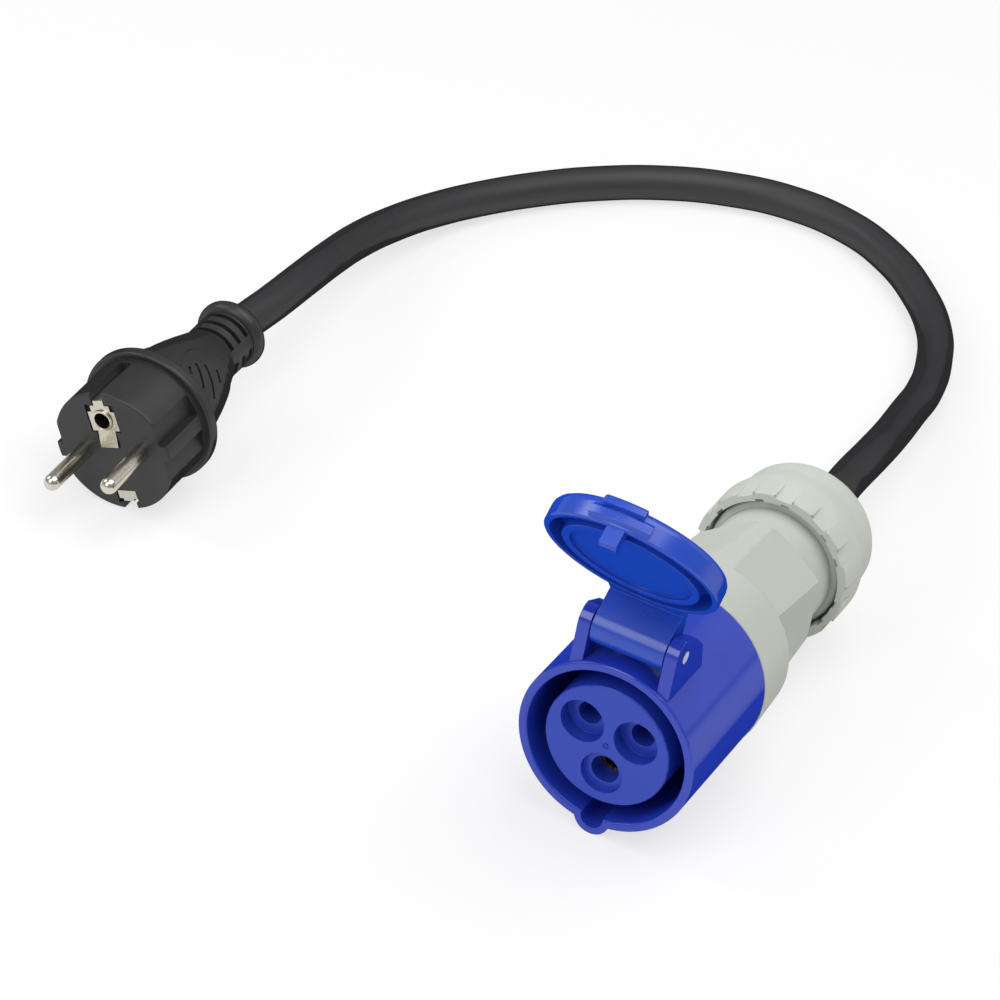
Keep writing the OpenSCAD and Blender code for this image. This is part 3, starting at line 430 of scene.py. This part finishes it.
def extruded_rubber(name, colour, bloom, roughness):
    """Extruded rubber sheath: matt, with long faint die lines and a little talc along them."""
    material, tree = new_material(name)
    along = add_node(tree, "ShaderNodeTexCoord").outputs["UV"]
    stretch = add_node(tree, "ShaderNodeMapping", {
        "Vector": along, "Scale": (cable_length / streak_length, math.pi * cable_d / streak_width, 1)})
    lines = add_node(tree, "ShaderNodeTexNoise", {"Vector": stretch.outputs[0], "Scale": 1.0, "Detail": 4.0})
    skin = two_tone(tree, lines.outputs[0], colour, bloom)
    gloss = add_node(tree, "ShaderNodeMapRange", {
        "Value": lines.outputs[0], "To Min": roughness - 0.06, "To Max": roughness + 0.06})
    relief = add_node(tree, "ShaderNodeBump", {
        "Height": lines.outputs[0], "Strength": 0.25, "Distance": grain_depth})
    shader = add_node(tree, "ShaderNodeBsdfPrincipled", {
        "Base Color": skin, "Roughness": gloss.outputs[0], "Normal": relief.outputs[0],
        "IOR": 1.52, "Specular IOR Level": fading_gloss(tree, 0.4)})
    return finish_material(material, shader)


cable.data.materials.append(extruded_rubber("extruded_cable_rubber", "#2a2a2c", "#343436", 0.5))
print("sheath streaks:", round(cable_length / streak_length, 1), "along the cable")

# %% [markdown]
# ## Metals
# Pins and sleeves are turned on a lathe, which leaves fine rings round them; the plug's are then
# plated. Rings are really about 0.1 mm apart and are drawn at several times that, to show at
# all. A Mapping node lays the plug's rings square to its tipped axis.

# %% Turned metal
ring_pitch = 0.6 * mm
tarnish_size = 6 * mm
wave_period = math.pi / 10
plug_lie = (math.radians(-5.35), 0, math.radians(-0.85))


def turned_metal(name, colour, tarnish, roughness, lie=(0, 0, 0)):
    """Turned metal: bright, with fine tool rings round the axis and a faint tarnish."""
    material, tree = new_material(name)
    place = add_node(tree, "ShaderNodeTexCoord").outputs["Object"]
    lying = add_node(tree, "ShaderNodeMapping", {"Vector": place, "Rotation": lie})
    rings = add_node(
        tree, "ShaderNodeTexWave",
        {"Vector": lying.outputs[0], "Scale": wave_period / ring_pitch, "Distortion": 0.6, "Detail": 2.0},
        bands_direction="Y")
    stains = add_node(tree, "ShaderNodeTexNoise", {"Vector": place, "Scale": 1 / tarnish_size, "Detail": 4.0})
    plating = two_tone(tree, stains.outputs[0], colour, tarnish)
    gloss = add_node(tree, "ShaderNodeMapRange", {
        "Value": rings.outputs[1], "To Min": roughness - 0.04, "To Max": roughness + 0.06})
    relief = add_node(tree, "ShaderNodeBump", {
        "Height": rings.outputs[1], "Strength": 0.12, "Distance": grain_depth})
    shader = add_node(tree, "ShaderNodeBsdfPrincipled", {
        "Base Color": plating, "Roughness": gloss.outputs[0], "Normal": relief.outputs[0],
        "Metallic": 1.0})
    return finish_material(material, shader)


turned_nickel = turned_metal("turned_nickel_plated_brass", "#dcd7ca", "#c9c2b2", 0.2, plug_lie)
turned_brass = turned_metal("turned_brass", "#d8b25c", "#b98f42", 0.28)
for name in ("plug_pin_left", "plug_pin_right", "plug_earth_socket"):
    finishes[name] = turned_nickel
for name in ("contact_sleeve_live", "contact_sleeve_neutral", "contact_sleeve_earth"):
    finishes[name] = turned_brass
print("rings every", round(ring_pitch / mm, 2), "mm")

# %% [markdown]
# ## Strip and steel
# The earth clip is stamped from rolled strip, whose marks run straight along it. Hinge pin,
# spring and screws are zinc-plated steel with soft cloudy patches. One function makes both: only
# the size of the marks along each axis differs.

# %% Rolled and zinc-plated metal
roll_mark = (0.4 * mm, 0.4 * mm, 9 * mm)
spangle_size = 1.6 * mm


def rolled_metal(name, colour, tarnish, roughness, mark):
    """Plated strip or steel: marks of the given size along each axis sway tint and gloss."""
    material, tree = new_material(name)
    place = add_node(tree, "ShaderNodeTexCoord").outputs["Object"]
    stretch = add_node(tree, "ShaderNodeMapping", {"Vector": place, "Scale": tuple(1 / m for m in mark)})
    marks = add_node(tree, "ShaderNodeTexNoise", {"Vector": stretch.outputs[0], "Scale": 1.0, "Detail": 4.0})
    plating = two_tone(tree, marks.outputs[0], colour, tarnish)
    gloss = add_node(tree, "ShaderNodeMapRange", {
        "Value": marks.outputs[0], "To Min": roughness - 0.06, "To Max": roughness + 0.08})
    relief = add_node(tree, "ShaderNodeBump", {
        "Height": marks.outputs[0], "Strength": 0.12, "Distance": grain_depth})
    shader = add_node(tree, "ShaderNodeBsdfPrincipled", {
        "Base Color": plating, "Roughness": gloss.outputs[0], "Normal": relief.outputs[0],
        "Metallic": 1.0})
    return finish_material(material, shader)


zinc_steel = rolled_metal("zinc_plated_steel", "#cdd0d4", "#b4b8be", 0.3, (spangle_size,) * 3)
finishes["plug_earth_clip"] = rolled_metal("stamped_nickel_strip", "#dad5c8", "#c6c0b2", 0.26, roll_mark)
for name in ("hinge_pin", "lid_spring", "terminal_screws"):
    finishes[name] = zinc_steel
print("roll marks", [round(m / mm, 1) for m in roll_mark], "mm")

# %% [markdown]
# ## Cores
# The insulation of the cores is soft coloured plastic: brown for live, blue for neutral, and
# green with yellow stripes for earth, which lie along the wire. The stripes are a wave across X.

# %% Core insulation
stripe_pitch = 3 * mm


def core_insulation(name, colour, stripe):
    """Extruded core insulation: smooth soft plastic with stripes along the wire."""
    material, tree = new_material(name)
    place = add_node(tree, "ShaderNodeTexCoord").outputs["Object"]
    bands = add_node(
        tree, "ShaderNodeTexWave",
        {"Vector": place, "Scale": wave_period / stripe_pitch}, bands_direction="X")
    print_edge = add_node(tree, "ShaderNodeMapRange", {
        "Value": bands.outputs[1], "From Min": 0.45, "From Max": 0.55})
    dye = two_tone(tree, print_edge.outputs[0], colour, stripe)
    shader = add_node(tree, "ShaderNodeBsdfPrincipled", {"Base Color": dye, "Roughness": 0.4})
    return finish_material(material, shader)


finishes["core_live"] = core_insulation("brown_core_insulation", "#6b3f22", "#653a1f")
finishes["core_neutral"] = core_insulation("blue_core_insulation", "#2f62b0", "#2b5ca8")
finishes["core_earth"] = core_insulation("striped_earth_insulation", "#4f8a34", "#d6c63c")
print("core finishes:", [n for n in finishes if n.startswith("core_")])

# %% [markdown]
# ## Dressing
# Every node that still shows takes its finish through its first material slot, and a rounded
# copy takes the finish of the node it stands for.

# %% Assign the finishes
for name, finish in finishes.items():
    piece = mouldings.get(name, nodes[name])
    piece.data.materials.clear()
    piece.data.materials.append(finish)
bare = sorted(set(nodes) - set(finishes) - {"cable"})
print("dressed:", len(finishes), "without finish:", bare)
